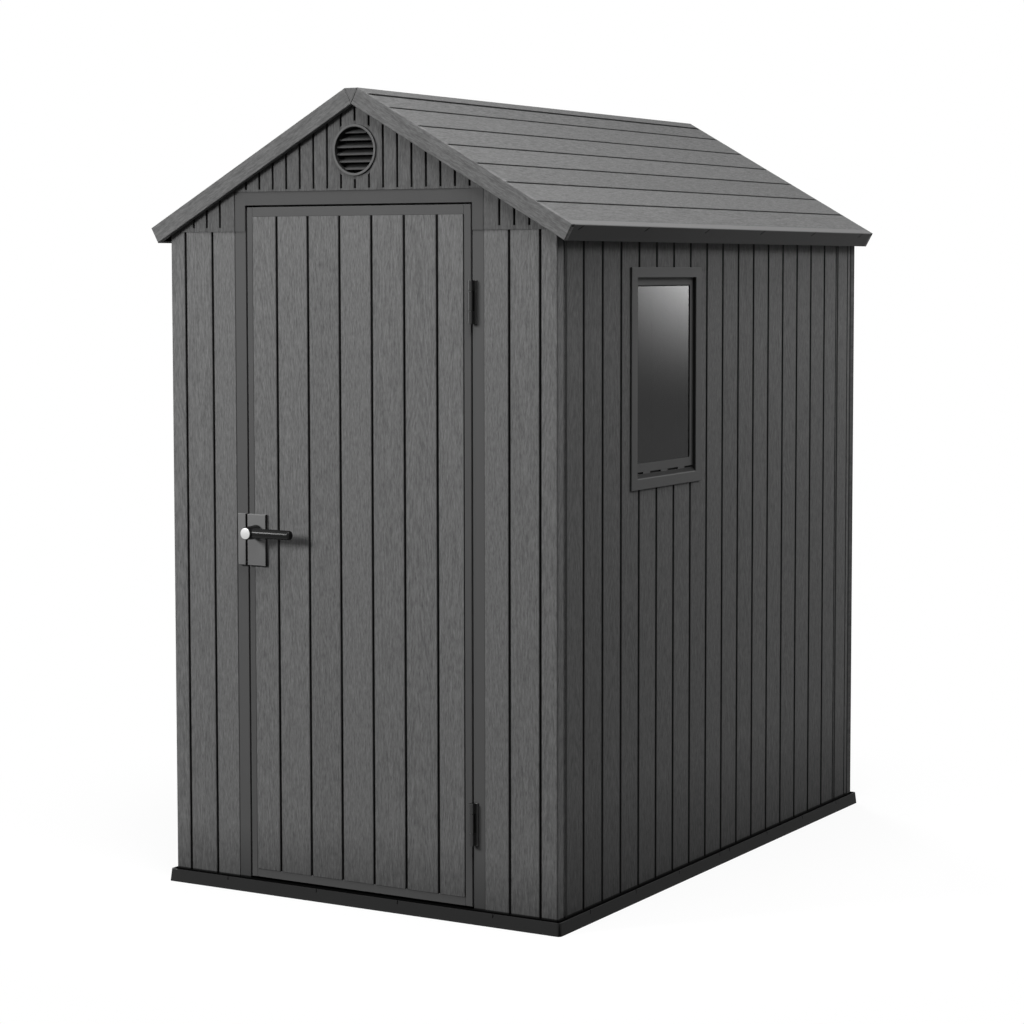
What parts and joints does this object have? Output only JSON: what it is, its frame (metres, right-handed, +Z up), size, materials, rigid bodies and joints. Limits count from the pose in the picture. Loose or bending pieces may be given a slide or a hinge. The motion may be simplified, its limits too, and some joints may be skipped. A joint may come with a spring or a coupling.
{
  "type": "garden shed",
  "caption": "Small anthracite resin garden shed with plank-effect walls, gable roof, front door with lever latch, round gable vent and a fixed side window.",
  "frame": {"origin": "middle of the floor's underside, on the ground", "axes": "+Z up, -Y out through the door's front wall, +X to the right when facing the door, towards the window wall"},
  "size_m": [1.251, 1.8628, 2.05],
  "materials": {
    "wall_resin": "anthracite, wood-grain moulded",
    "roof_resin": "anthracite, wood-grain moulded",
    "trim_resin": "anthracite, smooth",
    "floor_resin": "near black, fine grain",
    "black_resin": "black, satin",
    "window_pane": "smoked clear sheet",
    "lock_metal": "satin"
  },
  "bodies": {
    "shed": {"floor_left": "floor_resin", "floor_right": "floor_resin", "right_wall_front": "wall_resin", "right_wall_rear": "wall_resin", "left_wall_front": "wall_resin", "left_wall_rear": "wall_resin", "front_wall_left": "wall_resin", "front_wall_right": "wall_resin", "gable_wing_left": "wall_resin", "gable_wing_right": "wall_resin", "door_header": "trim_resin", "front_gable": "wall_resin", "gable_vent": "wall_resin", "back_wall_left": "wall_resin", "back_wall_right": "wall_resin", "back_gable": "wall_resin", "roof_left": "roof_resin", "roof_right": "roof_resin", "ridge_cap": "roof_resin", "front_fascia_left": "wall_resin", "front_fascia_right": "wall_resin", "rear_fascia_left": "wall_resin", "rear_fascia_right": "wall_resin", "eave_trim_left": "trim_resin", "eave_trim_right": "trim_resin", "window_frame": "trim_resin", "window_sash": "trim_resin", "window_pane": "window_pane", "latch_keeper": "wall_resin", "hinge_upper_frame": "black_resin", "hinge_lower_frame": "black_resin"},
    "door": {"door_panel": "wall_resin", "door_stile_left": "trim_resin", "door_stile_right": "trim_resin", "door_rail_top": "trim_resin", "door_rail_bottom": "trim_resin", "latch_plate": "wall_resin", "hinge_upper_door": "black_resin", "hinge_lower_door": "black_resin"},
    "lever": {"latch_lever": "black_resin", "lever_cap": "lock_metal"}
  },
  "joints": [
    {"name": "door_hinge", "type": "hinge", "parent": "shed", "child": "door", "pos_m": [0.3385, -0.903, 0.9], "axis": [0, 0, 1], "range_deg": [0, 110]},
    {"name": "lever_turn", "type": "hinge", "parent": "door", "child": "lever", "pos_m": [-0.30325, -0.93, 0.935], "axis": [0, 1, 0], "range_deg": [0, 90]}
  ]
}
